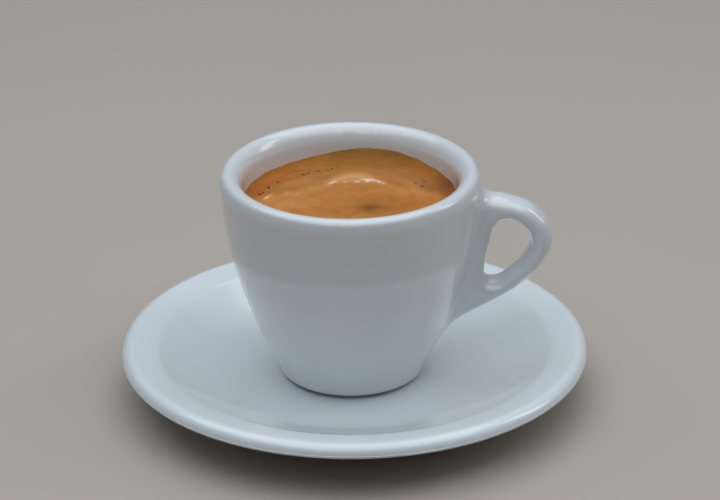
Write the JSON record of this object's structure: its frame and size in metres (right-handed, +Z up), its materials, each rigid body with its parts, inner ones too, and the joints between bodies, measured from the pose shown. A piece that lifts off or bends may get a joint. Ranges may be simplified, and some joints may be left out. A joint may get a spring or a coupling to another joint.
{
  "type": "espresso shot in a cup with saucer",
  "caption": "Espresso with crema in a thick-walled porcelain cup with an ear handle, standing on its round saucer.",
  "frame": {"origin": "centre of the saucer, on the surface that its foot ring stands on", "axes": "+Z up, +X from the saucer's centre towards the handle; the picture's camera looks along +Y"},
  "size_m": [0.12, 0.12, 0.0624],
  "materials": {
    "saucer_porcelain": "glossy white glaze",
    "cup_porcelain": "glossy white glaze",
    "crema": "orange-brown coffee foam with a soft wet sheen, darker coffee below"
  },
  "bodies": {
    "root": {"saucer": "saucer_porcelain", "cup": "cup_porcelain", "espresso": "crema"}
  },
  "joints": []
}
